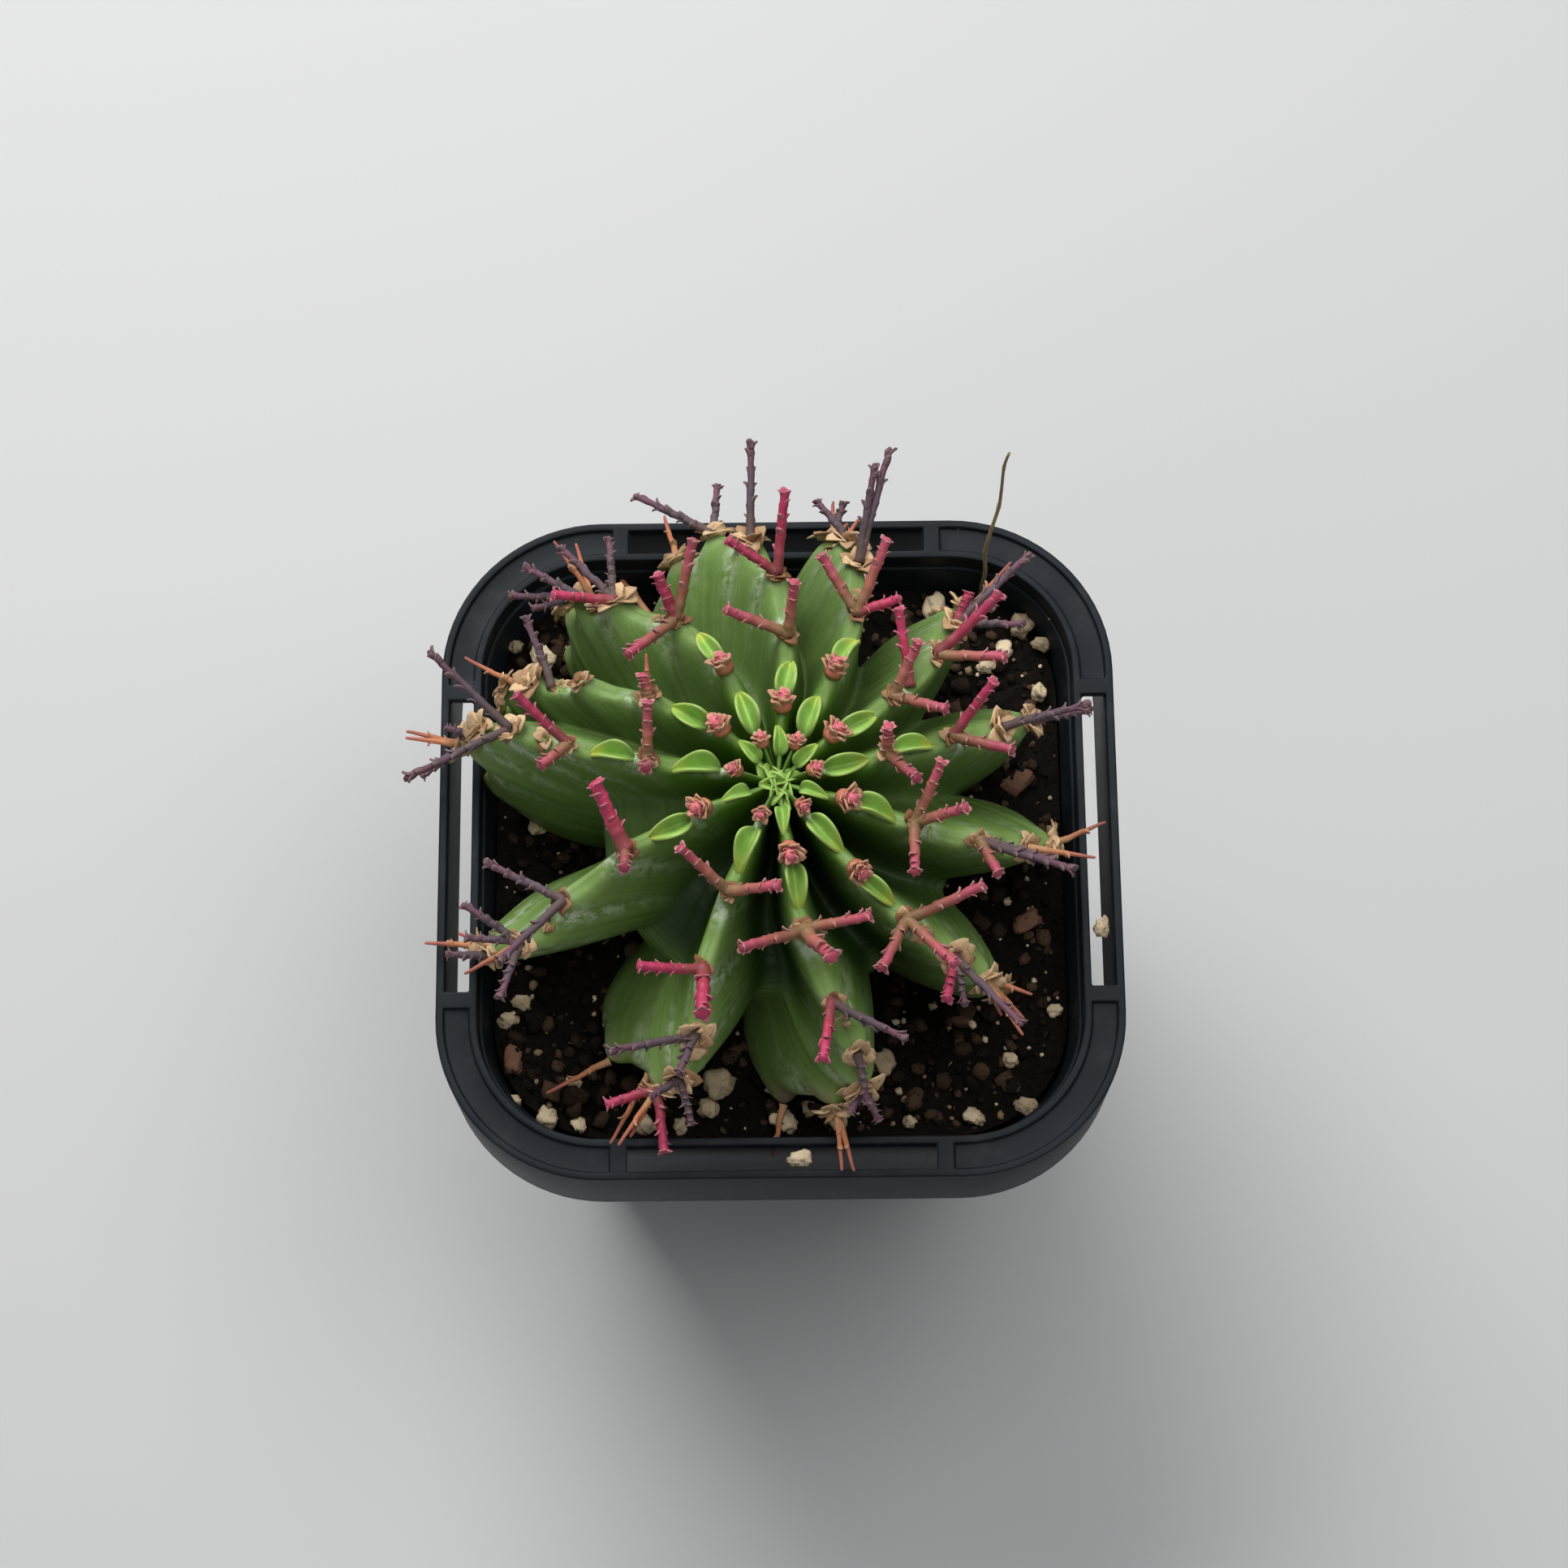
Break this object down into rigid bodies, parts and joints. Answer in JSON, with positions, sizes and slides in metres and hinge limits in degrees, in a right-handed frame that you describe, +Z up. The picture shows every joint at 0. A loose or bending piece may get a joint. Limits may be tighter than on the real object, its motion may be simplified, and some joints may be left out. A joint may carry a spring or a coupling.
{
  "type": "potted euphorbia",
  "caption": "Squat ribbed euphorbia with crimson and grey flower-stalk spines and small leaves, growing in gritty soil in a square black plastic pot with a slotted rim.",
  "frame": {"origin": "centre of the pot's flat base, on the surface it stands on", "axes": "+Z up through the middle of the pot, +X to the viewer's right, -Y towards the viewer"},
  "size_m": [0.09, 0.0943, 0.114],
  "materials": {
    "pot_plastic": "satin black moulded plastic",
    "soil_mix": "damp dark granular potting mix",
    "stem_skin": "satin green waxy skin with pale bloom on the crests",
    "leaf_skin": "satin fresh yellow-green leaf",
    "spine": "crimson when young, purple-grey to dry orange when old",
    "pumice": "rough cream pumice",
    "bark": "rough brown bark",
    "straw": "dry straw-coloured stalk"
  },
  "bodies": {
    "root": {"pot": "pot_plastic", "soil": "soil_mix", "stem": "stem_skin", "leaf_a": "leaf_skin", "leaf_l": "leaf_skin", "leaf_k": "leaf_skin", "leaf_j": "leaf_skin", "leaf_i": "leaf_skin", "leaf_h": "leaf_skin", "leaf_g": "leaf_skin", "leaf_f": "leaf_skin", "leaf_e": "leaf_skin", "leaf_d": "leaf_skin", "leaf_c": "leaf_skin", "leaf_b": "leaf_skin", "spine_01": "spine", "spine_02": "spine", "spine_03": "spine", "spine_04": "spine", "spine_05": "spine", "spine_06": "spine", "spine_07": "spine", "spine_08": "spine", "spine_09": "spine", "spine_10": "spine", "spine_11": "spine", "spine_12": "spine", "spine_13": "spine", "spine_14": "spine", "spine_15": "spine", "spine_16": "spine", "spine_17": "spine", "spine_18": "spine", "spine_19": "spine", "spine_20": "spine", "spine_21": "spine", "spine_22": "spine", "spine_23": "spine", "spine_24": "spine", "spine_25": "spine", "spine_26": "spine", "spine_27": "spine", "spine_28": "spine", "spine_29": "spine", "spine_30": "spine", "spine_31": "spine", "spine_32": "spine", "dry_stalk": "straw", "grain_1": "pumice", "grain_2": "pumice", "grain_3": "pumice", "grain_4": "pumice", "grain_5": "pumice", "grain_6": "pumice", "grain_7": "pumice", "bark_chip_1": "bark", "bark_chip_2": "bark", "bark_chip_3": "bark", "grain_8": "pumice", "grain_9": "pumice"}
  },
  "joints": []
}
